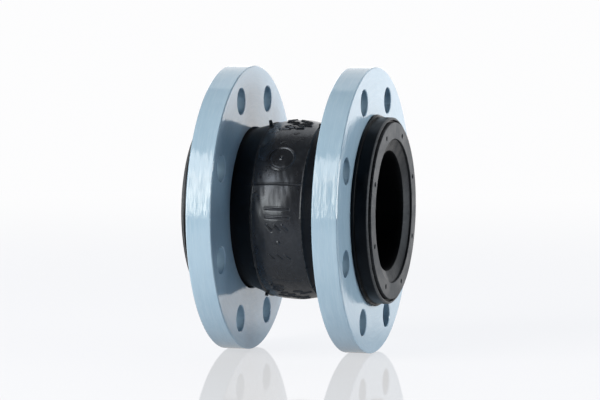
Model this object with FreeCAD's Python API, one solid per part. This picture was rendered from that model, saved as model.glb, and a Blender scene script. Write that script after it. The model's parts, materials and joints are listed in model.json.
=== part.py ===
import FreeCAD, Part
import math
import os

from FreeCAD import Vector

# Single-arch rubber expansion joint with two swivelling steel flanges, nominal bore 80 mm.
# Frame: the pipe axis is X, the left flange is at -X, +Z is up, and the origin is the centre
# of the arch on the pipe axis. All sizes are in millimetres. "r" is a distance from the axis.

# ---- flanges -------------------------------------------------------------------------------
FLANGE_R = 97.5
FLANGE_THICK = 17.5
FLANGE_OUTER_X = 52.0          # half the distance over the two outer faces
FLANGE_SHIFT = 1.2             # the loose plates sit this far right of the middle of the rubber
FLANGE_BORE_R = 55.3
FLANGE_EDGE = 0.6              # chamfer on the rim and the bore
BOLT_CIRCLE_R = 80.0
BOLT_HOLE_R = 9.0
BOLT_COUNT = 8                 # the holes straddle the vertical centre line
HOLE_EDGE = 0.5                # chamfer on each bolt hole

# ---- rubber wall, from the fluid outwards ----------------------------------------------------
BOND = 0.05                    # bond line between two cured layers
THROAT_R = 41.0                # inside of the tube at the necks
TUBE_THICK = 3.0
PLY_THICK = 0.9
CUSHION_THICK = 0.8
NECK_R = 54.3                  # outside of the cover where it passes through a flange
ARCH_RISE = 9.5                # how far the inside of the arch stands above the throat
ARCH_HALF = 30.0               # from the crown to the start of the neck
FILLET_R = 20.0                # inside radius where the neck turns up into the arch

# ---- outside of the arch ---------------------------------------------------------------------
COVER_FOOT_X = 31.5            # where the flank of the arch starts
SHOULDER_X = 17.7
SHOULDER_R = 59.4
CROWN_TOP_R = 61.8
RIDGE_HEIGHT = 0.45            # thin moulded rib along each shoulder
RIDGE_HALF = 0.5

# ---- bead and collar at each end -------------------------------------------------------------
SEAT_X = FLANGE_OUTER_X + FLANGE_SHIFT   # the right plate bears here on the back of its collar
FACE_X = 66.3                  # sealing face
FACE_OUTER_R = 60.1
FACE_INNER_R = 49.0
FACE_THICK = 3.1
FACE_STEP = 1.3                # the tube's mouth starts this far inside the sealing face
MOUTH_X = 62.2                 # where the conical mouth meets the throat
PIN_CIRCLE_R = 54.0
PIN_R = 0.8
PIN_DEPTH = 1.5
COLLAR_R = 63.5
COLLAR_BACK_GAP = 0.1          # running gap between the collar and the swivelling flange
RIM_X = 64.7
RIM_INNER_R = 61.8
RIM_BEVEL = 0.9
GROOVE_FLOOR_X = 62.5
LIP_R = 64.7                   # thin lip at the foot of the collar
LIP_END_X = 55.0
LIP_FOOT_X = 55.8
FRONT_BEND_X = 58.2            # centre of the bend that turns the inner plies up the face
FRONT_BEND_R = 5.0
BACK_BEND_X = 53.65            # centre of the bend that turns the outer plies up the flange side
BACK_BEND_R = 3.5
PLY_TOP_R = 59.4               # where the turned-up plies end

# ---- wire bundle -----------------------------------------------------------------------------
WIRE_R = 0.55
WIRE_GAP = 0.02
WIRE_COLUMNS = 3
WIRE_ROWS = 4
WRAP_THICK = 0.35
WRAP_BOTTOM_R = 52.35
WRAP_TOP_R = 57.7
WRAP_SEAM = 0.3                # open seam in the tape, on top of the bundle

# ---- depths of the layers below the inside of the tube ---------------------------------------
PLY_1 = TUBE_THICK + BOND
PLY_2 = PLY_1 + PLY_THICK + BOND
CUSHION = PLY_2 + PLY_THICK + BOND
PLY_3 = CUSHION + CUSHION_THICK + BOND
PLY_4 = PLY_3 + PLY_THICK + BOND
COVER = PLY_4 + PLY_THICK + BOND

ORIGIN = Vector(0, 0, 0)
PIPE_AXIS = Vector(1, 0, 0)
# The crown's arc is tangent to both fillets
CENTRES_APART = (ARCH_HALF**2 + ARCH_RISE**2) / (2 * ARCH_RISE)
CROWN_R = CENTRES_APART - FILLET_R
FLANK_ANGLE = math.degrees(math.asin(ARCH_HALF / CENTRES_APART))


def at(x, r):
    """Point at distance x along the pipe and r from its axis."""
    return Vector(x, 0, r)


def chain(*points):
    """Straight edges through (x, r) points, left open."""
    return [Part.LineSegment(at(*a), at(*b)).toShape() for a, b in zip(points, points[1:])]


def arc(centre, radius, first, last):
    """Arc about an (x, r) centre between two angles in degrees, counted from +X towards +r."""
    ends = []
    for degrees in (first, (first + last) / 2, last):
        turn = math.radians(degrees)
        ends.append(at(centre[0] + radius * math.cos(turn), centre[1] + radius * math.sin(turn)))
    return [Part.Arc(*ends).toShape()]


def mirrored(shape):
    """The same shape at the other end of the joint."""
    return shape.mirror(ORIGIN, PIPE_AXIS)


def both_ends(edges):
    return edges + [mirrored(edge) for edge in edges]


def ring(edges):
    """Solid of revolution about the pipe axis from the edges of one closed outline."""
    outline = Part.Wire(Part.__sortEdges__(edges))
    return Part.Face(outline).revolve(ORIGIN, PIPE_AXIS, 360)


def polygon_ring(*points):
    return ring(chain(*points, points[0]))


def arch(depth, neck_end_x):
    """Wall surface at a depth outside the bore: neck, fillet, crown, fillet, neck."""
    neck_r = THROAT_R + depth
    fillet_centre = (ARCH_HALF, THROAT_R + FILLET_R)
    crown_centre = (0, THROAT_R + ARCH_RISE - CROWN_R)
    neck = chain((neck_end_x, neck_r), (ARCH_HALF, neck_r))
    fillet = arc(fillet_centre, FILLET_R - depth, 270, 270 - FLANK_ANGLE)
    crown = arc(crown_centre, CROWN_R + depth, 90 - FLANK_ANGLE, 90 + FLANK_ANGLE)
    return both_ends(neck + fillet) + crown


def front_turn_up(depth):
    """Wall surface from the neck up behind the sealing ring, at the right-hand end."""
    radius = FRONT_BEND_R - (depth - TUBE_THICK)
    centre_r = THROAT_R + TUBE_THICK + FRONT_BEND_R
    bend = arc((FRONT_BEND_X, centre_r), radius, 270, 360)
    return bend + chain((FRONT_BEND_X + radius, centre_r), (FRONT_BEND_X + radius, PLY_TOP_R))


def back_turn_up(depth):
    """Wall surface from the neck up the flange side of the bead, at the right-hand end."""
    radius = BACK_BEND_R - (depth - PLY_3)
    centre_r = THROAT_R + PLY_3 + BACK_BEND_R
    bend = arc((BACK_BEND_X, centre_r), radius, 270, 360)
    return bend + chain((BACK_BEND_X + radius, centre_r), (BACK_BEND_X + radius, PLY_TOP_R))


def inner_tube():
    """Liner with a conical mouth at each end, behind the step of the sealing ring."""
    lip_r = FACE_INNER_R - BOND
    centre_r = THROAT_R + TUBE_THICK + FRONT_BEND_R
    short_of_level = math.degrees(math.asin((centre_r - lip_r) / FRONT_BEND_R))
    bend = arc((FRONT_BEND_X, centre_r), FRONT_BEND_R, 270, 360 - short_of_level)
    bend_top = bend[0].Vertexes[-1].Point
    cone = chain((MOUTH_X, THROAT_R), (FACE_X - FACE_STEP, lip_r), (bend_top.x, lip_r))
    return ring(arch(0, MOUTH_X) + arch(TUBE_THICK, FRONT_BEND_X) + both_ends(cone + bend))


def front_ply(depth):
    """Cord ply that turns up behind the sealing ring at both ends."""
    inside = arch(depth, FRONT_BEND_X) + both_ends(front_turn_up(depth))
    outer_depth = depth + PLY_THICK
    outside = arch(outer_depth, FRONT_BEND_X) + both_ends(front_turn_up(outer_depth))
    x = FRONT_BEND_X + FRONT_BEND_R - (depth - TUBE_THICK)
    tops = both_ends(chain((x, PLY_TOP_R), (x - PLY_THICK, PLY_TOP_R)))
    return ring(inside + outside + tops)


def back_ply(depth):
    """Cord ply that turns up on the flange side of the wire bundle at both ends."""
    inside = arch(depth, BACK_BEND_X) + both_ends(back_turn_up(depth))
    outer_depth = depth + PLY_THICK
    outside = arch(outer_depth, BACK_BEND_X) + both_ends(back_turn_up(outer_depth))
    x = BACK_BEND_X + BACK_BEND_R - (depth - PLY_3)
    tops = both_ends(chain((x, PLY_TOP_R), (x - PLY_THICK, PLY_TOP_R)))
    return ring(inside + outside + tops)


def cushion_layer():
    """Soft rubber between the inner and the outer pair of plies."""
    end_x = SEAT_X
    inner_r = THROAT_R + CUSHION
    ends = both_ends(chain((end_x, inner_r), (end_x, inner_r + CUSHION_THICK)))
    return ring(arch(CUSHION, end_x) + arch(CUSHION + CUSHION_THICK, end_x) + ends)


def outer_cover():
    """Cover rubber: plain necks, straight flanks, a thin rib on each shoulder, a low crown."""
    end_x = SEAT_X + BOND
    flank_r = SHOULDER_R - RIDGE_HEIGHT / 2
    side = chain(
        (end_x, THROAT_R + COVER),
        (end_x, NECK_R),
        (COVER_FOOT_X, NECK_R),
        (SHOULDER_X + RIDGE_HALF, flank_r),
        (SHOULDER_X, SHOULDER_R + RIDGE_HEIGHT),
        (SHOULDER_X - RIDGE_HALF, SHOULDER_R),
    )
    crown_foot = at(SHOULDER_X - RIDGE_HALF, SHOULDER_R)
    crown = Part.Arc(crown_foot, at(0, CROWN_TOP_R), at(-crown_foot.x, crown_foot.z)).toShape()
    return ring(arch(COVER, end_x) + both_ends(side) + [crown])


def sealing_ring():
    """Flat ring that seals against the pipe flange, with eight shallow moulding pinholes."""
    back_x = FACE_X - FACE_THICK
    body = polygon_ring(
        (back_x, FACE_INNER_R),
        (FACE_X, FACE_INNER_R),
        (FACE_X, FACE_OUTER_R),
        (back_x, FACE_OUTER_R),
    )
    return body.cut(hole_circle(PIN_R, PIN_CIRCLE_R, BOLT_COUNT, FACE_X - PIN_DEPTH, FACE_X + 1))


def collar():
    """Thick moulded collar around the bead, with a lip at its foot and a grooved front."""
    back_x = SEAT_X + COLLAR_BACK_GAP
    bend_centre_r = THROAT_R + PLY_3 + BACK_BEND_R
    bend_r = BACK_BEND_R - (COVER - PLY_3)
    foot_r = bend_centre_r - bend_r
    bead_top_r = PLY_TOP_R + BOND
    face_back_x = FACE_X - FACE_THICK
    bend = arc((BACK_BEND_X, bend_centre_r), bend_r, 270, 360)
    inside = chain(
        (BACK_BEND_X + bend_r, bend_centre_r),
        (BACK_BEND_X + bend_r, bead_top_r),
        (face_back_x - BOND, bead_top_r),
        (face_back_x - BOND, FACE_OUTER_R + BOND),
        (GROOVE_FLOOR_X, FACE_OUTER_R + BOND),
        (GROOVE_FLOOR_X, RIM_INNER_R),
        (RIM_X, RIM_INNER_R),
        (RIM_X, COLLAR_R - RIM_BEVEL),
        (RIM_X - RIM_BEVEL, COLLAR_R),
        (LIP_FOOT_X, COLLAR_R),
        (LIP_END_X, LIP_R),
        (back_x, LIP_R),
        (back_x, foot_r),
        (BACK_BEND_X, foot_r),
    )
    return ring(bend + inside)


def bead_filler():
    """Rubber wedge that fills the fork between the inner and the outer plies."""
    start_x = SEAT_X + BOND
    low_r = THROAT_R + CUSHION
    high_r = THROAT_R + PLY_3 - BOND
    top_r = WRAP_BOTTOM_R - BOND
    front_centre_r = THROAT_R + TUBE_THICK + FRONT_BEND_R
    front_r = front_centre_r - low_r
    back_centre_r = THROAT_R + PLY_3 + BACK_BEND_R
    back_r = back_centre_r - high_r
    return ring(
        chain((BACK_BEND_X, high_r), (start_x, high_r), (start_x, low_r), (FRONT_BEND_X, low_r))
        + arc((FRONT_BEND_X, front_centre_r), front_r, 270, 360)
        + chain(
            (FRONT_BEND_X + front_r, front_centre_r),
            (FRONT_BEND_X + front_r, top_r),
            (BACK_BEND_X + back_r, top_r),
            (BACK_BEND_X + back_r, back_centre_r),
        )
        + arc((BACK_BEND_X, back_centre_r), back_r, 360, 270)
    )


def bead_span():
    """Lowest and highest x of the space between the inner and the outer plies' turn-ups."""
    low = BACK_BEND_X + BACK_BEND_R + BOND
    high = FRONT_BEND_X + FRONT_BEND_R - (CUSHION - TUBE_THICK)
    return low, high


def bead_wrap():
    """Rubberised tape around the wire bundle, open along a seam on top."""
    low, high = bead_span()
    middle = (low + high) / 2
    return polygon_ring(
        (middle - WRAP_SEAM / 2, WRAP_TOP_R),
        (low, WRAP_TOP_R),
        (low, WRAP_BOTTOM_R),
        (high, WRAP_BOTTOM_R),
        (high, WRAP_TOP_R),
        (middle + WRAP_SEAM / 2, WRAP_TOP_R),
        (middle + WRAP_SEAM / 2, WRAP_TOP_R - WRAP_THICK),
        (high - WRAP_THICK, WRAP_TOP_R - WRAP_THICK),
        (high - WRAP_THICK, WRAP_BOTTOM_R + WRAP_THICK),
        (low + WRAP_THICK, WRAP_BOTTOM_R + WRAP_THICK),
        (low + WRAP_THICK, WRAP_TOP_R - WRAP_THICK),
        (middle - WRAP_SEAM / 2, WRAP_TOP_R - WRAP_THICK),
    )


def bead_wires():
    """Hoops of steel wire, three across and four deep."""
    low, high = bead_span()
    middle_x = (low + high) / 2
    middle_r = (WRAP_BOTTOM_R + WRAP_TOP_R) / 2
    pitch = 2 * WIRE_R + WIRE_GAP
    hoops = []
    for column in range(WIRE_COLUMNS):
        for row in range(WIRE_ROWS):
            x = middle_x + (column - (WIRE_COLUMNS - 1) / 2) * pitch
            r = middle_r + (row - (WIRE_ROWS - 1) / 2) * pitch
            hoops.append(Part.makeTorus(r, WIRE_R, at(x, 0), PIPE_AXIS))
    return Part.makeCompound(hoops)


def bead_apex():
    """Hard rubber strip on top of the wire bundle, between the turned-up plies."""
    low, high = bead_span()
    bottom_r = WRAP_TOP_R + BOND
    return polygon_ring((low, bottom_r), (high, bottom_r), (high, PLY_TOP_R), (low, PLY_TOP_R))


def hole_circle(radius, circle_r, count, from_x, to_x):
    """Round holes on a circle, turned half a pitch so that they straddle the vertical."""
    holes = []
    for number in range(count):
        turn = 2 * math.pi * (number + 0.5) / count
        base = Vector(from_x, circle_r * math.sin(turn), circle_r * math.cos(turn))
        holes.append(Part.makeCylinder(radius, to_x - from_x, base, PIPE_AXIS))
    return Part.makeCompound(holes)


def hole_edges(circle_r, count, face_x, into):
    """Countersinks for the bolt holes on one face; into is +1 or -1 along X."""
    cones = []
    for number in range(count):
        turn = 2 * math.pi * (number + 0.5) / count
        base = Vector(face_x, circle_r * math.sin(turn), circle_r * math.cos(turn))
        axis = Vector(into, 0, 0)
        cones.append(Part.makeCone(BOLT_HOLE_R + HOLE_EDGE, BOLT_HOLE_R, HOLE_EDGE, base, axis))
    return Part.makeCompound(cones)


def flange():
    """Plate flange, free to turn on the neck of the rubber body, placed for a centred right end."""
    outer_x = FLANGE_OUTER_X
    inner_x = FLANGE_OUTER_X - FLANGE_THICK
    plate = polygon_ring(
        (inner_x, FLANGE_BORE_R + FLANGE_EDGE),
        (inner_x + FLANGE_EDGE, FLANGE_BORE_R),
        (outer_x - FLANGE_EDGE, FLANGE_BORE_R),
        (outer_x, FLANGE_BORE_R + FLANGE_EDGE),
        (outer_x, FLANGE_R - FLANGE_EDGE),
        (outer_x - FLANGE_EDGE, FLANGE_R),
        (inner_x + FLANGE_EDGE, FLANGE_R),
        (inner_x, FLANGE_R - FLANGE_EDGE),
    )
    plate = plate.cut(hole_circle(BOLT_HOLE_R, BOLT_CIRCLE_R, BOLT_COUNT, inner_x - 1, outer_x + 1))
    plate = plate.cut(hole_edges(BOLT_CIRCLE_R, BOLT_COUNT, inner_x, 1))
    return plate.cut(hole_edges(BOLT_CIRCLE_R, BOLT_COUNT, outer_x, -1))


def save(name, shape):
    shape.exportStep(f"parts/{name}.step")


def main():
    os.makedirs("parts", exist_ok=True)
    save("inner_tube", inner_tube())
    save("cord_ply_1", front_ply(PLY_1))
    save("cord_ply_2", front_ply(PLY_2))
    save("cushion_layer", cushion_layer())
    save("cord_ply_3", back_ply(PLY_3))
    save("cord_ply_4", back_ply(PLY_4))
    save("outer_cover", outer_cover())
    end_pieces = {
        "collar": collar(),
        "sealing_ring": sealing_ring(),
        "bead_filler": bead_filler(),
        "bead_apex": bead_apex(),
        "bead_wrap": bead_wrap(),
        "bead_wires": bead_wires(),
    }
    for name, shape in end_pieces.items():
        save(f"right_{name}", shape)
        save(f"left_{name}", mirrored(shape))
    plate_shift = Vector(FLANGE_SHIFT, 0, 0)
    save("right_flange", flange().translated(plate_shift))
    save("left_flange", mirrored(flange()).translated(plate_shift))


main()
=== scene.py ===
"""Looks of a rubber expansion joint with two loose enamelled steel flanges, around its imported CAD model."""

import json
import math

import bpy
import numpy as np
from mathutils import Matrix, Vector

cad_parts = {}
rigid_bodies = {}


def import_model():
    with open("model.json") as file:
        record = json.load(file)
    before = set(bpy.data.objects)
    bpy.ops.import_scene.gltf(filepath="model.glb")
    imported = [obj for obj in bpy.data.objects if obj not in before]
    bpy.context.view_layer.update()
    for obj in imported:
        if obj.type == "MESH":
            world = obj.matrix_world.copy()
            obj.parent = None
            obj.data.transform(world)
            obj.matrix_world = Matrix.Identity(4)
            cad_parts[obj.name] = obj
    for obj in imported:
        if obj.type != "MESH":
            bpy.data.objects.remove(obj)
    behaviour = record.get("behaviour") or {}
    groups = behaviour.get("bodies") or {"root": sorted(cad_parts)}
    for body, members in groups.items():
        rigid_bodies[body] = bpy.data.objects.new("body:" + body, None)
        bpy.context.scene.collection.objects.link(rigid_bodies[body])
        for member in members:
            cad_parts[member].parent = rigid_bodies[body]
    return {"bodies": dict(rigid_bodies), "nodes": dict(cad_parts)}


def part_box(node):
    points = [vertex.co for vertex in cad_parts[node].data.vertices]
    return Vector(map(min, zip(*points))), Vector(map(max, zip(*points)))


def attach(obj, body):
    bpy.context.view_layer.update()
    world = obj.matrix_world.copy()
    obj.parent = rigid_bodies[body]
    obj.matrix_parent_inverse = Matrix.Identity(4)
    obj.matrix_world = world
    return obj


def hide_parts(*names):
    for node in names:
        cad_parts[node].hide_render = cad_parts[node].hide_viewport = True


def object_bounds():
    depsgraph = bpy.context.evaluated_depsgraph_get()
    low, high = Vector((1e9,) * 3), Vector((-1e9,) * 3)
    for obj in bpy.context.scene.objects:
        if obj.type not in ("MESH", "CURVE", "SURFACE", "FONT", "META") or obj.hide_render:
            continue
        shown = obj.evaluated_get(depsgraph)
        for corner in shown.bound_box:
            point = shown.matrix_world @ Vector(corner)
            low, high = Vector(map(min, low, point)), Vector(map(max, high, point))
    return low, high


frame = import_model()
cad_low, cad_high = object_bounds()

MM = 0.001

# The object, in millimetres and degrees. Angles run from straight up towards the camera side,
# s is a distance round the crown, and x a distance along the pipe axis.
CROWN_R = 61.5
SHOULDER, SHOULDER_R = 17.7, 59.0
SPLIT_ANGLES = (70.8, 250.8)
BEND_FROM, BEND_TO = -33.0, 33.0
COLLAR_R, LIP_X, LIP_R, RIM_X = 63.5, 55.0, 63.8, 64.7
PIN_R, PIN_HOLE_R, PIN_DEPTH = 54.0, 1.45, 1.5

# below this radius the cover's outline is its inside: radius against distance from the middle
COVER_INSIDE_X = [0, 18, 24, 32, 40]
COVER_INSIDE_R = [60.8, 58.4, 55.8, 52.5, 52.5]

# Camera
LENS = 190.0
SENSOR = 36.0
AZIMUTH, ELEVATION, ROLL = 16.35, 3.79, 0.26
DISTANCE = 2.1726
SHIFT_RIGHT, SHIFT_UP = -0.00045, 0.0058


# ---------------------------------------------------------------- outlines

def outline(node):
    """Closed (x, r) outline of a turned CAD node in mm, read where its mesh crosses the upper half plane."""
    mesh = frame["nodes"][node].data
    points = np.empty(len(mesh.vertices) * 3)
    mesh.vertices.foreach_get("co", points)
    points = points.reshape(-1, 3)
    ends = np.empty(len(mesh.edges) * 2, dtype=np.int32)
    mesh.edges.foreach_get("vertices", ends)
    ends = ends.reshape(-1, 2)
    seam = (np.abs(points[:, 1]) < 1e-6) & (points[:, 2] > 0)
    links = {}
    for a, b in ends[seam[ends[:, 0]] & seam[ends[:, 1]]]:
        a, b = (tuple(np.round(points[i, ::2] / MM, 3)) for i in (a, b))
        if a != b:
            links.setdefault(a, set()).add(b)
            links.setdefault(b, set()).add(a)
    walk = [min(links)]
    while True:
        onward = [p for p in links[walk[-1]] if p not in walk[-2:]]
        if not onward or onward[0] == walk[0]:
            break
        walk.append(onward[0] if len(walk) > 1 else max(onward))
    path = np.array(walk)
    x, r = path.T
    area = np.sum(x * np.roll(r, -1) - np.roll(x, -1) * r)
    return path if area > 0 else path[::-1]


def rounded(path, radius, sharper_than=25, steps=4):
    """Outline with its corners rounded to a small radius."""
    made = []
    before, after = np.roll(path, 1, axis=0), np.roll(path, -1, axis=0)
    for last, corner, following in zip(before, path, after):
        into, out = corner - last, following - corner
        span_in, span_out = np.linalg.norm(into), np.linalg.norm(out)
        into, out = into / span_in, out / span_out
        turn = math.acos(np.clip(into @ out, -1, 1))
        if turn < math.radians(sharper_than):
            made.append(corner)
            continue
        cut = min(radius * math.tan(turn / 2), 0.42 * span_in, 0.42 * span_out)
        start, end = corner - cut * into, corner + cut * out
        for step in range(steps + 1):
            t = step / steps
            made.append((1 - t) ** 2 * start + 2 * t * (1 - t) * corner + t ** 2 * end)
    return np.array(made)


def resampled(path, spacing):
    """Outline with its long edges cut into steps; spacing(x, r) gives the longest step there in mm."""
    made = []
    for a, b in zip(path, np.roll(path, -1, axis=0)):
        middle = (a + b) / 2
        count = max(1, math.ceil(np.linalg.norm(b - a) / spacing(*middle)))
        made.extend(a + (b - a) * step / count for step in range(count))
    return np.array(made)


def outline_normals(path):
    """Unit normals of a closed outline, pointing out of the material."""
    ahead = np.roll(path, -1, axis=0) - path
    ahead /= np.linalg.norm(ahead, axis=1)[:, None]
    along = ahead + np.roll(ahead, 1, axis=0)
    along /= np.linalg.norm(along, axis=1)[:, None]
    return np.stack([along[:, 1], -along[:, 0]], 1)


# ---------------------------------------------------------------- meshes

def build_mesh(name, points, quads, smooth_up_to=50):
    """Mesh from points in mm and quads, smooth apart from edges sharper than the angle."""
    mesh = bpy.data.meshes.new(name)
    mesh.vertices.add(len(points))
    mesh.vertices.foreach_set("co", (points * MM).astype(np.float32).ravel())
    mesh.loops.add(quads.size)
    mesh.loops.foreach_set("vertex_index", quads.astype(np.int32).ravel())
    mesh.polygons.add(len(quads))
    mesh.polygons.foreach_set("loop_start", np.arange(0, quads.size, 4, dtype=np.int32))
    mesh.update(calc_edges=True)
    mesh.validate()
    mesh.shade_smooth()
    mesh.set_sharp_from_angle(angle=math.radians(smooth_up_to))
    return mesh


def spun(path, angles, relief=None):
    """Points and quads of an outline turned about the pipe axis; relief(path, angles, normal) lifts it."""
    x, r = path.T
    normal = outline_normals(path)
    turn = np.radians(angles)[None, :]
    lift = np.zeros((len(path), len(angles)))
    if relief is not None:
        lift = relief(path, angles, normal)
    across = x[:, None] + lift * normal[:, :1]
    out = r[:, None] + lift * normal[:, 1:]
    points = np.stack([across, -out * np.sin(turn), out * np.cos(turn)], -1).reshape(-1, 3)
    rows, columns = len(path), len(angles)
    row, column = np.meshgrid(np.arange(rows), np.arange(columns), indexing="ij")
    next_row, next_column = (row + 1) % rows, (column + 1) % columns
    quads = np.stack([
        row * columns + column,
        row * columns + next_column,
        next_row * columns + next_column,
        next_row * columns + column,
    ], -1).reshape(-1, 4)
    return points, quads


def even_angles(count):
    return np.arange(count) * 360.0 / count


def stub(x, angle, foot_r, length, radius, lean=0.0):
    """Small moulding stub that stands on a turned surface: a closed peg with a rounded end."""
    sides = 10
    turn = math.radians(angle)
    out = np.array([math.sin(math.radians(lean)), -math.sin(turn) * math.cos(math.radians(lean)),
                    math.cos(turn) * math.cos(math.radians(lean))])
    side = np.cross(out, [1.0, 0.3, 0.2])
    side /= np.linalg.norm(side)
    other = np.cross(out, side)
    foot = np.array([x, -foot_r * math.sin(turn), foot_r * math.cos(turn)])
    rings = [(-0.6, 0.02), (-0.6, 1.25), (0.3, 1.1), (0.6 * length, 0.95), (0.93 * length, 0.85),
             (length, 0.5), (length * 1.01, 0.02)]
    points = []
    for height, share in rings:
        for k in range(sides):
            a = 2 * math.pi * k / sides
            points.append(foot + out * height + radius * share * (side * math.cos(a) + other * math.sin(a)))
    quads = []
    for row in range(len(rings) - 1):
        for k in range(sides):
            a, b = row * sides + k, row * sides + (k + 1) % sides
            quads.append((a, b, b + sides, a + sides))
    for k in range(sides // 2 - 1):
        quads.append((sides - 1 - k, sides - 2 - k, 1 + k, k))
    top = (len(rings) - 1) * sides
    for k in range(sides // 2 - 1):
        quads.append((top + k, top + 1 + k, top + sides - 2 - k, top + sides - 1 - k))
    return np.array(points), np.array(quads)


def joined(*parts):
    """Several (points, quads) as one."""
    offset, points, quads = 0, [], []
    for p, q in parts:
        points.append(p)
        quads.append(q + offset)
        offset += len(p)
    return np.concatenate(points), np.concatenate(quads)


def add_piece(name, mesh, body, material, slot, *stands_for):
    piece = bpy.data.objects.new(name, mesh)
    bpy.context.scene.collection.objects.link(piece)
    mesh.materials.append(material)
    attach(piece, body)
    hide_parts(*stands_for)
    rest = mesh.attributes.new("rest", "FLOAT_VECTOR", "POINT")
    places = np.empty(len(mesh.vertices) * 3, np.float32)
    mesh.vertices.foreach_get("co", places)
    rest.data.foreach_set("vector", places)
    return piece


def bends(piece):
    """The piece belongs to the wall: one end stays with the left end, the other goes with the right end."""
    places = np.empty(len(piece.data.vertices) * 3)
    piece.data.vertices.foreach_get("co", places)
    share = np.clip((places[::3] / MM - BEND_FROM) / (BEND_TO - BEND_FROM), 0, 1)
    share = share * share * (3 - 2 * share)
    group = piece.vertex_groups.new(name="follows_right_end")
    levels = 400
    step = np.round(share * levels).astype(int)
    for level in range(1, levels + 1):
        members = np.nonzero(step == level)[0]
        if len(members):
            group.add(members.tolist(), level / levels, "REPLACE")
    hook = piece.modifiers.new("follow", "HOOK")
    hook.object = frame["bodies"]["right_end"]
    hook.vertex_group = group.name
    hook.falloff_type = "NONE"
    hook.strength = 1.0
    hook.matrix_inverse = Matrix.Identity(4)


# ---------------------------------------------------------------- moulded relief

def bell(distance, width):
    return np.exp(-(distance / width) ** 2)


def arc(angles, angle, radius):
    """Signed distance in mm round a circle of this radius, from one angle in degrees to others."""
    return ((angles - angle + 180) % 360 - 180) * math.pi / 180 * radius


def waves(seed, count, low, high):
    """Smooth random function of angle in degrees, about -1 to 1, made of whole-number waves."""
    rng = np.random.default_rng(seed)
    orders = rng.integers(low, high, count)
    phases = rng.uniform(0, 2 * math.pi, count)
    sizes = rng.uniform(0.4, 1.0, count)
    sizes /= np.sqrt(np.sum(sizes ** 2) / 2) * 1.6

    def value(angle):
        turn = np.radians(angle)
        return sum(s * np.sin(n * turn + p) for n, p, s in zip(orders, phases, sizes))
    return value


def ellipse(half_x, half_s, count=64):
    t = np.linspace(0, 2 * math.pi, count + 1)
    return np.stack([half_x * np.cos(t), half_s * np.sin(t)], 1)


def straight(run_x, run_s, s=0.0, x=0.0):
    """A straight bar: how far it runs along and round the cover, and where its middle is."""
    return np.array([[x - run_x / 2, s - run_s / 2], [x + run_x / 2, s + run_s / 2]])


def rounded_box(half_x, half_s, power, count=72):
    t = np.linspace(0, 2 * math.pi, count + 1)
    c, d = np.cos(t), np.sin(t)
    x = half_x * np.sign(c) * np.abs(c) ** (2 / power)
    s = half_s * np.sign(d) * np.abs(d) ** (2 / power)
    return np.stack([x, s], 1)


def distance_to(line, x, s):
    """Shortest distance in mm from grid points to an open or closed line of (x, s) points."""
    best = np.full(x.shape, 1e9)
    for (ax, as_), (bx, bs) in zip(line[:-1], line[1:]):
        dx, ds = bx - ax, bs - as_
        length = max(dx * dx + ds * ds, 1e-12)
        t = np.clip(((x - ax) * dx + (s - as_) * ds) / length, 0, 1)
        best = np.minimum(best, np.hypot(x - ax - t * dx, s - as_ - t * ds))
    return best


# groups of short raised bars on the crown: first and last angle, how many, height and width in mm
BAR_BANDS = [(1.0, 24.0, 17, 0.80, 0.65), (30.0, 40.0, 3, 0.30, 0.42), (144.0, 166.0, 15, 0.75, 0.60)]


def stamp(lift, path, angles, outside, x, angle, lines, height, width):
    """Raises lines around one place on the crown, each with a shallow moat beside it."""
    s = arc(angles, angle, CROWN_R)
    reach = max(np.abs(np.concatenate(lines)).max() + 4 * width, 2)
    rows = np.nonzero(outside & (np.abs(path[:, 0] - x) < reach))[0]
    columns = np.nonzero(np.abs(s) < reach)[0]
    if not len(rows) or not len(columns):
        return
    gx = path[rows, 0][:, None] - x + np.zeros((1, len(columns)))
    gs = s[columns][None, :] + np.zeros((len(rows), 1))
    block = lift[np.ix_(rows, columns)]
    for line in lines:
        off = distance_to(line, gx, gs)
        raised = height * bell(off, width)
        block = np.where(raised > 0.08, np.maximum(block, raised), block)
        block = block - 0.3 * height * bell(off - 2.0 * width, 0.7 * width)
    lift[np.ix_(rows, columns)] = block


# flaws along the shoulder ribs: which side, angle, height and width in mm
FLAWS = [(1, 92.6, 0.55, 0.9), (-1, 92.0, 0.30, 0.9), (-1, 129.5, -0.55, 0.9), (-1, 126.0, 0.25, 1.5),
         (1, 128.0, 0.35, 0.8), (1, 50.5, 0.35, 0.7), (1, 148.0, 0.5, 1.0), (1, 232.0, 0.4, 0.8),
         (-1, 300.0, 0.4, 0.9)]

# nicks in the collar's rim: angle, depth and width in mm; two of them are where the mould parts
NICKS = [(125.0, 0.35, 0.7), (71.0, 0.2, 0.6), (251.0, 0.2, 0.6), (203.0, 0.25, 0.8), (318.0, 0.2, 0.7)]
PARTING_NICKS = (71.0, 251.0)


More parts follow.
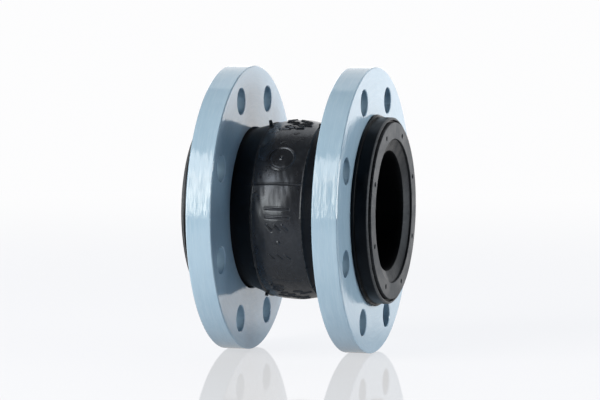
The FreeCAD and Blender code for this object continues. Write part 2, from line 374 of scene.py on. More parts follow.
def cover_relief(path, angles, normal):
    """Everything moulded into the outside of the cover."""
    x, r = path.T
    outside = normal[:, 1] > 0.15
    outside &= r > np.interp(np.abs(x), COVER_INSIDE_X, COVER_INSIDE_R)
    X, A = np.meshgrid(x, angles, indexing="ij")
    lift = np.zeros(X.shape)

    # generic raised marks where a maker would mould sizes: a plain ring, pips and bars, no letters or figures
    marks = [
        (0.7, 52.7, [ellipse(8.8, 8.8), ellipse(0.9, 0.9)], 0.45, 0.50),
        (1.2, 89.4, [straight(15.0, 0.3, -2.9), straight(15.0, 0.3, 2.9)], 0.55, 0.55),
        (1.2, 98.4, [straight(3.4, 3.6, 0.0, place) for place in (-5.4, 0.0, 5.4)], 0.60, 0.50),
        (1.5, 108.4, [ellipse(0.7, 0.7)], 0.60, 0.60),
        (1.2, 118.0, [straight(3.4, 3.6, 0.0, place) for place in (-5.4, 0.0, 5.4)], 0.60, 0.50),
        (3.0, 138.0, [straight(19.0, 2.2)], 0.42, 0.42),
    ]
    for x0, angle, lines, height, width in marks:
        stamp(lift, path, angles, outside, x0, angle, lines, height, width)
    bars = np.random.default_rng(11)
    for first, last, count, height, width in BAR_BANDS:
        for place in np.linspace(first, last, count):
            x0, half = bars.uniform(-7.0, 12.0), bars.uniform(1.4, 3.4)
            tilt = bars.uniform(-0.8, 0.8)
            bar = np.array([[-half, -tilt], [half, tilt]])
            stamp(lift, path, angles, outside, x0, place, [bar], height, width)
    for turn in range(7):
        frame_mark = rounded_box(6.0 - turn % 3, 3.0 + turn % 2, 3.0)
        stamp(lift, path, angles, outside, (-1) ** turn * 2.0, 205 + turn * 20.0, [frame_mark], 0.45, 0.6)

    # mould split line: a thin fin beside a fine groove, strongest on the crown
    crown = 1 / (1 + np.exp((np.abs(X) - SHOULDER + 0.8) / 0.5))
    reach = 0.35 + 0.65 * crown
    for split in SPLIT_ANGLES:
        s = arc(A, split, CROWN_R)
        lift += reach * (0.20 * bell(s + 0.45, 0.42) - 0.42 * bell(s - 0.25, 0.38))
        fade = (np.abs(s) < 12) * (1 - np.abs(s) / 12)
        lift += crown * 0.10 / (1 + np.exp(np.clip(s / 0.3, -30, 30))) * fade

    # the shoulder ribs fade in and out, with a few flaws where the mould was vented
    for side in (-1, 1):
        rib = bell(X - side * SHOULDER, 0.62)
        low = 1 / (1 + np.exp(-(A - 92.0) / 3.0)) * (A < 200)
        lift += rib * (0.10 * waves(21 + side, 9, 2, 17)(A) + (0.35 if side > 0 else 0.05 + 0.30 * low))
        lift -= 0.25 * bell(X - side * (SHOULDER + 1.3), 0.7)
    for side, angle, height, width in FLAWS:
        s = arc(A, angle, CROWN_R)
        lift += height * bell(np.hypot(X - side * SHOULDER, s), width)

    # slow unevenness of hand-laid rubber
    lift += 0.10 * waves(31, 8, 3, 14)(A + 2.2 * X) + 0.035 * waves(32, 8, 9, 30)(A - 3.1 * X)
    lift += 0.010 * waves(33, 8, 25, 60)(A + 1.0 * X)

    # the unsupported arch hangs a little
    sag = 0.45 * np.cos(np.radians(A)) + 0.7 * bell((A + 180) % 360 - 180, 32.0)
    lift -= sag * np.clip((28.0 - np.abs(X)) / 10.0, 0, 1)
    return np.where(outside[:, None], lift, 0.0)


def collar_relief(side):
    """The ragged lip at the collar's foot, its swelling at the top and the nicks in its outer rim."""
    def relief(path, angles, normal):
        x, r = path.T
        X, A = np.meshgrid(np.abs(x), angles, indexing="ij")
        outer = (r > 61.0)[:, None]
        lift = 0.05 * waves(41 + side, 8, 2, 11)(A + 0.6 * X)
        lip = bell(X - LIP_X, 0.7) * (r > LIP_R)[:, None]
        ragged = 0.16 * waves(43 + side, 8, 5, 26)(A)
        ragged = ragged + 0.14 * waves(45 + side, 8, 20, 70)(A) * bell(A - 150, 40)
        spread = 0.35 - 0.30 * np.cos(np.radians(A)) + 1.3 * bell((A - 7.0 + 180) % 360 - 180, 8.0)
        lift += lip * (ragged + spread)
        rim = bell(X - RIM_X, 1.2) * outer
        for angle, depth, width in NICKS:
            s = arc(A, angle, COLLAR_R)
            lift -= depth * bell(s, width) * (rim + 0.25 * outer * (angle in PARTING_NICKS))
        return lift * outer
    return relief


def sealing_relief(path, angles, normal):
    """Eight moulding pinholes and a little unevenness on the outer face of a sealing ring."""
    x, r = path.T
    face = np.abs(normal[:, 0]) > 0.9
    face &= np.abs(x) > 65.0
    lift = np.zeros((len(path), len(angles)))
    for k in range(8):
        s = arc(angles, 22.5 + 45 * k, PIN_R)[None, :]
        d = np.hypot(s, r[:, None] - PIN_R)
        lift -= PIN_DEPTH / (1 + np.exp(np.clip((d - PIN_HOLE_R) / 0.10, -30, 30)))
        lift += 0.10 * bell(d - PIN_HOLE_R - 0.4, 0.3)
    lift += 0.03 * waves(51, 8, 3, 19)(angles + 0 * r[:, None])
    return np.where(face[:, None], lift, 0.0)


# ---------------------------------------------------------------- materials

class Shader:
    """Builds one procedural node material."""

    def __init__(self, name, place="rest"):
        self.material = bpy.data.materials.new(name)
        self.material.use_nodes = True
        self.tree = self.material.node_tree
        self.tree.nodes.clear()
        output = self.tree.nodes.new("ShaderNodeOutputMaterial")
        self.surface = self.tree.nodes.new("ShaderNodeBsdfPrincipled")
        self.tree.links.new(self.surface.outputs[0], output.inputs[0])
        if place == "rest":
            here = self.node("Attribute", attribute_name="rest").outputs["Vector"]
        else:
            here = self.node("TexCoord").outputs["Object"]
        self.here = self.vector("SCALE", here, scale=1000.0)
        split = self.node("SeparateXYZ", self.here).outputs
        self.x, self.y, self.z = split[0], split[1], split[2]
        self.r = self.math("SQRT", self.plus(self.times(self.y, self.y), self.times(self.z, self.z)))
        self.angle = self.times(self.math("ARCTAN2", self.times(self.y, -1.0), self.z), 180 / math.pi)

    def put(self, socket, value):
        if isinstance(value, bpy.types.NodeSocket):
            self.tree.links.new(value, socket)
        elif isinstance(value, (tuple, list)) and socket.type == "RGBA" and len(value) == 3:
            socket.default_value = (*value, 1.0)
        else:
            socket.default_value = value

    def node(self, kind, *values, **settings):
        made = self.tree.nodes.new("ShaderNode" + kind)
        for key, value in settings.items():
            setattr(made, key, value)
        for socket, value in zip(made.inputs, values):
            if value is not None:
                self.put(socket, value)
        return made

    def math(self, operation, *values):
        return self.node("Math", *values, operation=operation).outputs[0]

    def times(self, a, b):
        return self.math("MULTIPLY", a, b)

    def plus(self, a, b):
        return self.math("ADD", a, b)

    def vector(self, operation, *values, scale=None):
        made = self.node("VectorMath", *values, operation=operation)
        if scale is not None:
            self.put(made.inputs["Scale"], scale)
        return made.outputs[0]

    def combine(self, x, y, z):
        return self.node("CombineXYZ", x, y, z).outputs[0]

    def noise(self, place, scale, detail=3.0, roughness=0.55, distortion=0.0):
        made = self.node("TexNoise")
        self.put(made.inputs["Vector"], place)
        self.put(made.inputs["Scale"], scale)
        self.put(made.inputs["Detail"], detail)
        self.put(made.inputs["Roughness"], roughness)
        self.put(made.inputs["Distortion"], distortion)
        return made.outputs[0]

    def cells(self, place, scale):
        made = self.node("TexVoronoi")
        self.put(made.inputs["Vector"], place)
        self.put(made.inputs["Scale"], scale)
        return made.outputs["Distance"]

    def rise(self, value, low, high, to_low=0.0, to_high=1.0, smooth=True):
        """0 to 1 (or the given range) as value goes from low to high."""
        kind = "SMOOTHSTEP" if smooth else "LINEAR"
        return self.node("MapRange", value, low, high, to_low, to_high, interpolation_type=kind).outputs[0]

    def peak(self, value, centre, width):
        """1 at the centre, falling smoothly to 0 at the width on either side."""
        off = self.math("ABSOLUTE", self.math("SUBTRACT", value, centre))
        return self.rise(off, width, 0.0)

    def mix(self, share, a, b):
        made = self.node("Mix", data_type="RGBA")
        self.put(made.inputs[0], share)
        self.put(made.inputs[6], a)
        self.put(made.inputs[7], b)
        return made.outputs[2]

    def blend(self, share, a, b):
        made = self.node("Mix", data_type="FLOAT")
        self.put(made.inputs[0], share)
        self.put(made.inputs[2], a)
        self.put(made.inputs[3], b)
        return made.outputs[0]

    def bump(self, height, distance_mm, below=None):
        """Normal of a surface whose height, 0 to 1, stands for the given distance."""
        made = self.node("Bump")
        self.put(made.inputs["Strength"], 1.0)
        self.put(made.inputs["Distance"], distance_mm * MM)
        self.put(made.inputs["Height"], height)
        if below is not None:
            self.put(made.inputs["Normal"], below)
        return made.outputs[0]

    def tilted(self, normal, slope):
        """The normal leant by a slope along the direction in which the object's turning runs."""
        back = self.math("DIVIDE", self.times(self.z, -1.0), self.r)
        return self.pushed(normal, self.combine(0.0, back, self.math("DIVIDE", self.y, self.r)), slope)

    def leant(self, normal, slope):
        """The normal leant by a slope along the pipe axis."""
        return self.pushed(normal, (1, 0, 0), slope)

    def pushed(self, normal, along, slope):
        """The normal leant by a slope along a direction of the object."""
        settings = {"vector_type": "VECTOR", "convert_from": "OBJECT", "convert_to": "WORLD"}
        along = self.node("VectorTransform", along, **settings).outputs[0]
        return self.vector("NORMALIZE", self.vector("ADD", normal, self.vector("SCALE", along, scale=slope)))

    def around(self, fine, coarse):
        """Coordinates that change fast across the turning direction and slowly along it, without a seam."""
        return self.combine(
            self.times(self.plus(self.x, self.r), fine),
            self.times(self.math("DIVIDE", self.y, self.r), coarse),
            self.times(self.math("DIVIDE", self.z, self.r), coarse),
        )

    def outward(self, fine, coarse):
        """Coordinates that change fast with the angle and slowly outward, for radial streaks."""
        return self.combine(
            self.times(self.math("DIVIDE", self.y, self.r), fine),
            self.times(self.math("DIVIDE", self.z, self.r), fine),
            self.times(self.plus(self.x, self.r), coarse),
        )

    def done(self, colour, roughness, normal=None, metallic=0.0, specular=0.5, tint=(1.0, 1.0, 1.0)):
        self.put(self.surface.inputs["Base Color"], colour)
        self.put(self.surface.inputs["Roughness"], roughness)
        self.put(self.surface.inputs["Metallic"], metallic)
        self.put(self.surface.inputs["Specular IOR Level"], specular)
        self.put(self.surface.inputs["Specular Tint"], tint)
        if normal is not None:
            self.put(self.surface.inputs["Normal"], normal)
        return self.material


ENAMEL = (0.345, 0.500, 0.665)
ENAMEL_THIN = (0.316, 0.470, 0.632)
ENAMEL_THICK = (0.382, 0.538, 0.692)


def enamel(name, centre, half):
    """Brushed-on glossy pale blue paint: long brush strokes round the plate, sags, a few specks; painted
    shade on the hole and bore walls.
    """
    m = Shader(name, place="object")
    cloud = m.noise(m.here, 0.035, 3.0)
    strokes = m.noise(m.around(0.55, 3.0), 1.0, 4.0, 0.6)
    fine = m.noise(m.around(1.9, 9.0), 1.0, 3.0, 0.6)
    sags = m.noise(m.around(0.22, 7.0), 1.0, 3.0, 0.5)
    grain = m.noise(m.here, 1.6, 2.0)
    specks = m.rise(m.cells(m.here, 0.16), 0.10, 0.04)
    few = m.rise(m.noise(m.here, 0.09, 1.0), 0.60, 0.66)
    speck = m.times(specks, few)
    colour = m.mix(m.rise(cloud, 0.35, 0.65), ENAMEL_THIN, ENAMEL)
    colour = m.mix(m.rise(strokes, 0.45, 0.75, 0.0, 0.6), colour, ENAMEL_THICK)
    colour = m.mix(m.rise(fine, 0.50, 0.72, 0.0, 0.22), colour, (0.50, 0.63, 0.74))
    colour = m.mix(m.times(speck, 0.5), colour, (0.60, 0.70, 0.80))
    facing = m.node("SeparateXYZ", m.node("TexCoord").outputs["Normal"]).outputs[0]
    facing = m.math("ABSOLUTE", facing)
    # painted shade: the walls of the bolt holes and of the bore are darkened
    hole_wall_shade = m.times(m.rise(facing, 0.6, 0.3), m.rise(m.r, 95.0, 93.0))
    colour = m.mix(m.times(hole_wall_shade, 0.55), colour, (0.20, 0.315, 0.42))
    height = m.plus(m.times(sags, 1.0), m.times(strokes, 0.35))
    normal = m.bump(height, 0.16)
    normal = m.bump(fine, 0.030, below=normal)
    normal = m.bump(m.plus(m.times(grain, 0.2), speck), 0.05, below=normal)
    drag = m.noise(m.around(1.5, 10.0), 1.0, 3.0, 0.6)
    seen_flat = m.rise(m.node("LayerWeight", 0.5).outputs["Facing"], 0.97, 0.80)
    seen_flat = m.times(seen_flat, m.rise(facing, 0.7, 0.9, 1.0, 0.40))
    seen_flat = m.times(seen_flat, m.rise(m.angle, 36.0, 56.0, 0.35, 1.0))
    drag = m.rise(drag, 0.40, 0.60, -0.028, 0.028)
    normal = m.tilted(normal, m.times(drag, seen_flat))
    flake = m.noise(m.around(0.9, 8.0), 1.0, 4.0, 0.7)
    flake = m.rise(flake, 0.44, 0.56, -0.018, 0.018)
    normal = m.leant(normal, m.times(flake, seen_flat))
    aside = m.math("SUBTRACT", m.x, centre)
    edge = m.rise(m.math("ABSOLUTE", aside), half - 1.1, half - 0.2, 0.0, 0.30)
    edge = m.times(edge, m.rise(m.r, 96.0, 97.0))
    normal = m.leant(normal, m.times(edge, m.math("SIGN", aside)))
    roughness = m.rise(m.noise(m.here, 0.08, 3.0), 0.3, 0.7, 0.012, 0.035)
    return m.done(colour, roughness, normal)


COOL = (0.86, 0.99, 1.18)


def rubber(name, dark, dust, dust_share, gloss, matt, texture_mm, scale=1.0):
    """Black vulcanised rubber with patches of dust and handling marks."""
    m = Shader(name)
    patch = m.noise(m.here, 0.055 * scale, 5.0, 0.62, 0.4)
    wipe = m.noise(m.around(0.10 * scale, 4.0), 1.0, 5.0, 0.6, 1.2)
    grain = m.noise(m.here, 1.4 * scale, 3.0, 0.6)
    pores = m.rise(m.cells(m.here, 0.55 * scale), 0.16, 0.05)
    pores = m.times(pores, m.rise(m.noise(m.here, 0.2, 1.0), 0.55, 0.65))
    dusty = m.times(m.rise(patch, 0.42, 0.72), m.rise(wipe, 0.38, 0.66))
    share = m.times(dusty, dust_share)
    colour = m.mix(share, dark, dust)
    colour = m.mix(m.rise(grain, 0.3, 0.8, 0.0, 0.25), colour, tuple(c * 1.7 for c in dark))
    roughness = m.blend(m.rise(patch, 0.3, 0.7), gloss, matt)
    roughness = m.plus(roughness, m.times(dusty, 0.12))
    height = m.plus(m.times(grain, 0.8), m.times(patch, 0.6))
    height = m.math("SUBTRACT", height, m.times(pores, 0.8))
    return m, colour, roughness, m.bump(height, texture_mm)


def cover_rubber(name):
    """Outer cover: clean and near-black beside the flanges (painted shade); wiped and dusty on the crown,
    with painted light on its front and a painted highlight along the ribs.
    """
    dark, dust = (0.0038, 0.0044, 0.0060), (0.019, 0.022, 0.027)
    m, colour, roughness, normal = rubber(name, dark, dust, 0.4, 0.26, 0.31, 0.05)
    beside = m.math("ABSOLUTE", m.x)
    crown = m.rise(beside, SHOULDER + 0.6, SHOULDER - 1.5)
    blotch = m.noise(m.here, 0.12, 5.0, 0.68, 1.8)
    smear = m.noise(m.around(0.16, 9.0), 1.0, 6.0, 0.75, 2.2)
    smear = m.times(m.rise(smear, 0.42, 0.66), m.rise(blotch, 0.38, 0.66))
    smear = m.times(smear, crown)
    # painted light: lighter on the front of the crown where the softbox falls, darker towards its top,
    # underside and left side
    painted_front_light = m.times(m.rise(m.x, -17.0, -3.0, 0.20, 1.0), m.rise(m.angle, 45.0, 95.0, 0.18, 0.95))
    painted_front_light = m.times(painted_front_light, m.rise(m.angle, 100.0, 135.0, 1.0, 0.15))
    colour = m.mix(painted_front_light, colour, (0.0165, 0.0180, 0.0225))
    colour = m.mix(m.times(smear, 0.30), colour, (0.058, 0.064, 0.074))
    roughness = m.math("SUBTRACT", roughness, m.times(smear, 0.02))
    # painted shade: near-black beside the crown, between it and the flanges, with no dust there either
    colour = m.mix(crown, (0.0028, 0.0030, 0.0040), colour)
    # painted highlight: a lighter, patchy line along each shoulder rib
    edge_mottle = m.times(m.peak(beside, SHOULDER, 0.9), m.rise(m.noise(m.here, 0.4, 3.0), 0.3, 0.6))
    colour = m.mix(edge_mottle, colour, (0.040, 0.042, 0.046))
    roughness = m.blend(crown, 0.42, roughness)
    return m.done(colour, roughness, normal, specular=m.blend(crown, 0.22, 0.50), tint=COOL)


def collar_rubber(name):
    """Collar: clean black rubber with a grey rim, pale from wear."""
    dark, dust = (0.0022, 0.0024, 0.0034), (0.012, 0.013, 0.015)
    m, colour, roughness, normal = rubber(name, dark, dust, 0.3, 0.30, 0.42, 0.05)
    rim = m.rise(m.math("ABSOLUTE", m.x), 63.2, 64.0)
    edge_mottle = m.noise(m.here, 0.5, 4.0, 0.65)
    colour = m.mix(m.times(rim, m.rise(edge_mottle, 0.3, 0.7, 0.45, 0.9)), colour, (0.085, 0.091, 0.100))
    roughness = m.blend(rim, roughness, 0.55)
    return m.done(colour, roughness, normal, specular=m.blend(rim, 0.14, 0.45), tint=COOL)


def face_rubber(name):
    """Sealing ring: the same rubber, dulled by fine radial marks from the mould and thin dust; lighter
    towards the top, darker towards the back half, painted shade in the pinholes.
    """
    dark, dust = (0.0160, 0.0175, 0.0205), (0.052, 0.057, 0.065)
    m, colour, roughness, normal = rubber(name, dark, dust, 0.6, 0.46, 0.56, 0.05)
    rays = m.noise(m.outward(34.0, 0.05), 1.0, 4.0, 0.7)
    streak = m.rise(rays, 0.52, 0.72)
    colour = m.mix(m.times(streak, 0.5), colour, (0.088, 0.095, 0.108))
    # lighter towards the top of the ring, and darker towards its back half
    lighter_top = m.times(m.rise(m.z, 15.0, 56.0), m.rise(rays, 0.35, 0.6, 0.5, 1.0))
    colour = m.mix(m.times(lighter_top, 0.45), colour, (0.100, 0.104, 0.112))
    colour = m.mix(m.rise(m.y, 0.0, 60.0, 0.0, 0.30), colour, (0.020, 0.021, 0.023))
    # painted shade: the pinholes are near-black inside and barely reflect
    pinhole_shade = m.times(m.rise(m.math("ABSOLUTE", m.x), 66.15, 65.8), m.peak(m.r, PIN_R, 2.6))
    colour = m.mix(pinhole_shade, colour, (0.001, 0.001, 0.001))
    normal = m.bump(rays, 0.04, below=normal)
    specular = m.blend(m.math("MINIMUM", m.times(pinhole_shade, 3.0), 1.0), 0.5, 0.02)
    return m.done(colour, roughness, normal, specular=specular, tint=COOL)


def tube_rubber(name):
    """Inner tube: grey with mould release on the mouth cone, painted shade on its upper part, black down the
    throat.
    """
    dark, dust = (0.0018, 0.0018, 0.0026), (0.006, 0.006, 0.007)
    m, colour, roughness, normal = rubber(name, dark, dust, 0.4, 0.40, 0.55, 0.06)
    mouth = m.rise(m.math("ABSOLUTE", m.x), 58.0, 62.0)
    rays = m.noise(m.outward(26.0, 0.06), 1.0, 4.0, 0.7)
    pale = m.mix(m.rise(rays, 0.4, 0.7), (0.0045, 0.0052, 0.0066), (0.013, 0.015, 0.018))
    # painted shade: the upper part of the mouth cone is darker
    shade = m.times(m.rise(m.z, 5.0, 40.0), 0.6)
    colour = m.mix(mouth, colour, m.mix(shade, pale, (0.0020, 0.0024, 0.0032)))
    normal = m.bump(rays, 0.03, below=normal)
    specular = m.blend(mouth, 0.15, m.blend(shade, 0.34, 0.12))
    return m.done(colour, roughness, normal, specular=specular, tint=COOL)


def plain_rubber(name, dark, pale):
    m, colour, roughness, normal = rubber(name, dark, pale, 0.6, 0.45, 0.65, 0.08)
    return m.done(colour, roughness, normal)


def cord_fabric(name, lean):
    """Rubberised tyre cord: parallel cords that wind round the tube at an angle, under a skin of rubber."""
    m = Shader(name)
    wound = m.plus(m.times(m.x, lean / 62.0 * 180 / math.pi), m.angle)
    phase = m.math("SINE", m.times(wound, 2 * math.pi * 160 / 360.0))
    cord = m.rise(phase, -1.0, 1.0)
    grain = m.noise(m.here, 1.2, 3.0)
    colour = m.mix(cord, (0.012, 0.012, 0.011), (0.060, 0.052, 0.040))
    colour = m.mix(m.rise(grain, 0.4, 0.7, 0.0, 0.5), colour, (0.030, 0.028, 0.025))
    normal = m.bump(m.plus(cord, m.times(grain, 0.3)), 0.25)
    return m.done(colour, m.rise(grain, 0.3, 0.7, 0.45, 0.65), normal)


def bead_rubber(name):
    m = Shader(name, place="object")
    grain = m.noise(m.here, 1.1, 4.0, 0.6)
    colour = m.mix(m.rise(grain, 0.35, 0.7), (0.010, 0.010, 0.011), (0.028, 0.028, 0.030))
    return m.done(colour, m.rise(grain, 0.3, 0.7, 0.45, 0.62), m.bump(grain, 0.1))


def wrap_tape(name):
    """Rubberised tape wound round the wire bundle: slanted laps with a square weave."""
    m = Shader(name, place="object")
    laps = m.math("FRACT", m.math("DIVIDE", m.plus(m.angle, m.times(m.x, 2.5)), 9.0))
    weave = m.times(m.math("SINE", m.times(m.angle, 9.0)), m.math("SINE", m.times(m.x, 7.0)))
    grain = m.noise(m.here, 1.4, 3.0)
    colour = m.mix(m.rise(laps, 0.0, 1.0, smooth=False), (0.018, 0.017, 0.015), (0.050, 0.045, 0.036))
    colour = m.mix(m.rise(weave, -1.0, 1.0, 0.0, 0.4), colour, (0.070, 0.062, 0.050))
    height = m.plus(laps, m.times(weave, 0.25))
    return m.done(colour, m.rise(grain, 0.3, 0.7, 0.5, 0.7), m.bump(height, 0.25))


def bead_wire(name):
    """Brass-plated steel wire, drawn lengthwise."""
    m = Shader(name, place="object")
    drawn = m.noise(m.around(6.0, 2.0), 1.0, 3.0)
    stain = m.noise(m.here, 0.3, 4.0)
    colour = m.mix(m.rise(stain, 0.4, 0.7), (0.52, 0.44, 0.30), (0.36, 0.29, 0.19))
    return m.done(colour, m.rise(drawn, 0.3, 0.7, 0.25, 0.42), m.bump(drawn, 0.03), metallic=1.0)


paints = {}
for word in ("left", "right"):
    plate_low, plate_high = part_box(f"{word}_flange")
    middle, half = (plate_low.x + plate_high.x) / 2 / MM, (plate_high.x - plate_low.x) / 2 / MM
    paints[word] = enamel(f"painted_steel_{word}", middle, half)
cover_look = cover_rubber("cover_rubber")
collar_look = collar_rubber("collar_rubber")
face_look = face_rubber("face_rubber")
tube_look = tube_rubber("tube_rubber")
cushion_look = plain_rubber("cushion_rubber", (0.012, 0.012, 0.012), (0.035, 0.034, 0.032))
bead_look = bead_rubber("bead_rubber")
tape_look = wrap_tape("wrap_tape")
wire_look = bead_wire("bead_wire")
cord_looks = [cord_fabric(f"rubberised_cord_{k + 1}", 1 if k % 2 else -1) for k in range(4)]


# ---------------------------------------------------------------- pieces

def cover_angles():
    """Column angles: close together where marks are moulded, wider elsewhere."""
    dense = np.arange(0.0, 166.0, 0.30)
    sparse = np.arange(166.3, 359.8, 1.1)
    return np.concatenate([dense, sparse])


def cover_spacing(x, r):
    """Longest step along the cover's outline: fine on the crown, coarse on the inside."""
    if r < np.interp(abs(x), COVER_INSIDE_X, COVER_INSIDE_R):
        return 2.5
    if abs(x) < SHOULDER + 1.2:
        return 0.36
    return 1.6


# rubber that stayed in the mould's vents: side, angle, length and radius in mm, outward lean in degrees
VENT_STUBS = [
    (-1, 11.0, 3.0, 1.3, 8), (-1, 161.5, 3.2, 1.3, 6), (1, 15.0, 2.2, 0.8, 6),
    (1, 165.0, 2.0, 0.8, 6), (-1, 222.0, 2.4, 0.9, 8), (1, 318.0, 2.6, 0.9, 8),
]

cover_path = resampled(outline("outer_cover"), cover_spacing)
surface = spun(cover_path, cover_angles(), cover_relief)
stubs = [
    stub(side * (SHOULDER + 0.2), angle, SHOULDER_R, length, radius, side * lean)
    for side, angle, length, radius, lean in VENT_STUBS
]
mesh = build_mesh("cover_skin", *joined(surface, *stubs))
bends(add_piece("cover_skin", mesh, "left_end", cover_look, "cover_rubber", "outer_cover"))

wall = [
    ("tube_lining", "inner_tube", tube_look, "tube_rubber", 2.0),
    ("ply_sheet_1", "cord_ply_1", cord_looks[0], "rubberised_cord", 2.0),
    ("ply_sheet_2", "cord_ply_2", cord_looks[1], "rubberised_cord", 2.0),
    ("cushion_sheet", "cushion_layer", cushion_look, "cushion_rubber", 2.0),
    ("ply_sheet_3", "cord_ply_3", cord_looks[2], "rubberised_cord", 2.0),
    ("ply_sheet_4", "cord_ply_4", cord_looks[3], "rubberised_cord", 2.0),
]
for name, node, look, slot_name, step in wall:
    path = outline(node)
    if node == "inner_tube":
        path = rounded(path, 0.4)
    path = resampled(path, lambda x, r: step)
    mesh = build_mesh(name, *spun(path, even_angles(240)))
    bends(add_piece(name, mesh, "left_end", look, slot_name, node))

for side, word in ((-1, "left"), (1, "right")):
    body = f"{word}_end"
    path = resampled(rounded(outline(f"{word}_collar"), 0.35), lambda x, r: 0.9)
    mesh = build_mesh(f"{word}_collar_ring", *spun(path, even_angles(560), collar_relief(side)))
    add_piece(f"{word}_collar_ring", mesh, body, collar_look, "collar_rubber", f"{word}_collar")
    path = rounded(outline(f"{word}_sealing_ring"), 0.3)
    path = resampled(path, lambda x, r: 0.32 if abs(x) > 65.5 else 1.2)
    mesh = build_mesh(f"{word}_seal_face", *spun(path, even_angles(1080), sealing_relief))
    add_piece(f"{word}_seal_face", mesh, body, face_look, "face_rubber", f"{word}_sealing_ring")
    kept = {"flange": paints[word], "bead_filler": bead_look, "bead_apex": bead_look, "bead_wrap": tape_look,
            "bead_wires": wire_look}
    for piece, look in kept.items():
        mesh = frame["nodes"][f"{word}_{piece}"].data
        mesh.materials.clear()
        mesh.materials.append(look)


# ---------------------------------------------------------------- floor, light, camera

BACKDROP = (0.980, 0.980, 0.986)


class Tree:
    """Adds nodes to the floor's or the world's node tree."""

    def __init__(self, owner):
        owner.use_nodes = True
        self.tree = owner.node_tree
        self.tree.nodes.clear()

    def node(self, kind, *values, **settings):
        made = self.tree.nodes.new("ShaderNode" + kind)
        for key, value in settings.items():
            setattr(made, key, value)
        for socket, value in zip(made.inputs, values):
            if isinstance(value, bpy.types.NodeSocket):
                self.tree.links.new(value, socket)
            elif value is not None:
                socket.default_value = value
        return made

    def math(self, operation, *values):
        return self.node("Math", *values, operation=operation).outputs[0]

    def times(self, a, b):
        return self.math("MULTIPLY", a, b)

    def plus(self, a, b):
        return self.math("ADD", a, b)

    def rise(self, value, low, high, to_low, to_high, kind="SMOOTHSTEP"):
        return self.node("MapRange", value, low, high, to_low, to_high, interpolation_type=kind).outputs[0]


def make_floor():
    """Glossy pale table top that runs into the backdrop. The object mirrors a softer, graded one."""
    half, top = 8.0, cad_low.z
    corners = [(-half, -half, top), (half, -half, top), (half, half, top), (-half, half, top)]
    mesh = bpy.data.meshes.new("table_top")
    mesh.from_pydata(corners, [], [(0, 1, 2, 3)])
    floor = bpy.data.objects.new("table_top", mesh)
    bpy.context.scene.collection.objects.link(floor)
    material = bpy.data.materials.new("table_top")
    t = Tree(material)
    place = t.node("TexCoord").outputs["Object"]
    split = t.node("SeparateXYZ", place).outputs
    far = t.math("SQRT", t.plus(t.times(split[0], split[0]), t.times(split[1], split[1])))

    mirror = t.node("BsdfGlossy", (0.152, 0.156, 0.166, 1), 0.035).outputs[0]
    matt = t.node("BsdfDiffuse", (0.10, 0.10, 0.10, 1)).outputs[0]
    glow = t.node("Emission", (0.985, 0.988, 1.0, 1), 0.575).outputs[0]
    near = t.node("AddShader", t.node("AddShader", mirror, matt).outputs[0], glow).outputs[0]
    backdrop = t.node("Emission", (*BACKDROP, 1), 1.0).outputs[0]
    fade = t.rise(far, 0.35, 1.7, 0.0, 1.0)
    seen = t.node("MixShader", fade, near, backdrop).outputs[0]

    # for all rays but the camera's the floor glows with painted light and shade: brightest behind, bright in
    # front on the left where the softbox falls, dim in front on the right and far in front
    behind = t.rise(split[1], 0.04, 0.24, 0.48, 1.20)
    behind = t.plus(behind, t.rise(split[1], 0.30, 2.3, 0.0, 0.55, kind="LINEAR"))
    front = t.times(t.rise(split[0], 0.05, 0.16, 0.68, 0.13), t.rise(split[1], -0.60, -0.35, 0.06, 1.0))
    share = t.rise(split[1], -0.10, -0.03, 0.0, 1.0)
    level = t.node("Mix", share, None, front, behind, data_type="FLOAT").outputs[0]
    mirrored = t.node("Emission", (1.02, 1.00, 0.98, 1), level).outputs[0]
    camera_ray = t.node("LightPath").outputs["Is Camera Ray"]
    t.node("OutputMaterial", t.node("MixShader", camera_ray, mirrored, seen).outputs[0])
    mesh.materials.append(material)


def make_world():
    """White backdrop behind, dimmer ceiling, dark camera side; the camera itself sees plain white."""
    world = bpy.data.worlds.new("studio")
    bpy.context.scene.world = world
    t = Tree(world)
    split = t.node("SeparateXYZ", t.node("TexCoord").outputs["Generated"]).outputs
    pitch = t.times(t.math("ARCTAN2", split[2], split[1]), 180 / math.pi)
    backdrop = t.times(t.rise(pitch, 8.0, 16.0, 1.90, 1.30), t.rise(pitch, 30.0, 48.0, 1.0, 0.92))
    aside = t.rise(t.math("ABSOLUTE", split[0]), 0.38, 0.50, 1.0, 0.12)
    ceiling = t.times(backdrop, t.times(aside, t.rise(pitch, 64.4, 65.6, 1.0, 0.13)))
    camera_side = t.rise(pitch, 100.0, 120.0, 1.0, 0.05)
    light = t.node("Background", (1, 1, 1, 1), t.times(ceiling, camera_side)).outputs[0]
    seen = t.node("Background", (*BACKDROP, 1), 1.0).outputs[0]
    camera_ray = t.node("LightPath").outputs["Is Camera Ray"]
    t.node("OutputWorld", t.node("MixShader", camera_ray, light, seen).outputs[0])


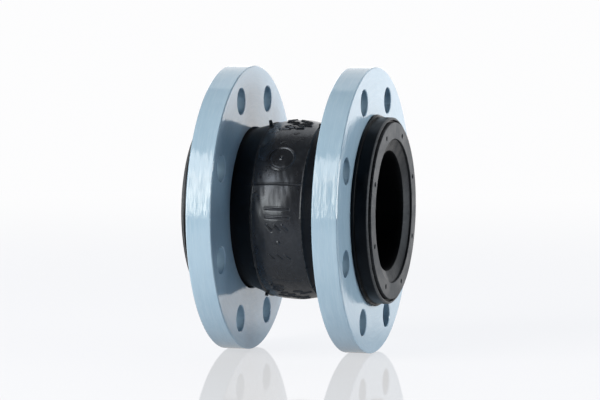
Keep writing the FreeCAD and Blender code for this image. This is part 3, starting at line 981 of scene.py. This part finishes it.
# one tall softbox in three parts beside the camera, and a fill on the right:
# name, azimuth and elevation in degrees, distance, width and height in metres, radiance, tint
LAMPS = [
    ("softbox_upper", -36.0, 36.0, 2.2, 1.5, 0.58, 5.4, (1.03, 1.00, 0.96)),
    ("softbox_middle", -36.0, 21.5, 2.2, 1.5, 0.58, 7.2, (1.10, 1.00, 0.89)),
    ("softbox_lower", -36.0, 5.6, 2.2, 1.5, 0.70, 8.9, (1.07, 1.01, 0.88)),
    ("fill_right", 97.0, 4.0, 1.6, 0.8, 0.8, 10.3, (1.02, 1.03, 0.98)),
]


def soft_light(name, azimuth, elevation, distance, width, height, radiance, tint):
    a, e = math.radians(azimuth), math.radians(elevation)
    towards = Vector((math.sin(a) * math.cos(e), -math.cos(a) * math.cos(e), math.sin(e)))
    light = bpy.data.lights.new(name, "AREA")
    light.shape = "RECTANGLE"
    light.size, light.size_y = width, height
    light.energy = radiance * math.pi * width * height
    light.color = tint
    lamp = bpy.data.objects.new(name, light)
    lamp.location = towards * distance
    lamp.rotation_mode = "QUATERNION"
    lamp.rotation_quaternion = towards.to_track_quat("Z", "Y")
    lamp.visible_camera = False
    bpy.context.scene.collection.objects.link(lamp)


def make_camera():
    """The camera of the photograph: its angles, distance and slight offset were fitted to the outlines."""
    a, e, roll = (math.radians(v) for v in (AZIMUTH, ELEVATION, ROLL))
    back = Vector((math.sin(a) * math.cos(e), -math.cos(a) * math.cos(e), math.sin(e)))
    right = Vector((math.cos(a), math.sin(a), 0))
    up = back.cross(right)
    turned_right = math.cos(roll) * right + math.sin(roll) * up
    turned_up = back.cross(turned_right)
    data = bpy.data.cameras.new("camera")
    data.lens, data.sensor_width = LENS, SENSOR
    data.clip_start, data.clip_end = 0.05, 60
    camera = bpy.data.objects.new("camera", data)
    bpy.context.scene.collection.objects.link(camera)
    place = back * DISTANCE + right * SHIFT_RIGHT + up * SHIFT_UP
    rows = [(turned_right[i], turned_up[i], back[i], place[i]) for i in range(3)]
    camera.matrix_world = Matrix((*rows, (0, 0, 0, 1)))
    bpy.context.scene.camera = camera


make_floor()
make_world()
for lamp_settings in LAMPS:
    soft_light(*lamp_settings)
make_camera()
bpy.context.scene.view_settings.view_transform = "Standard"
bpy.context.scene.view_settings.look = "None"
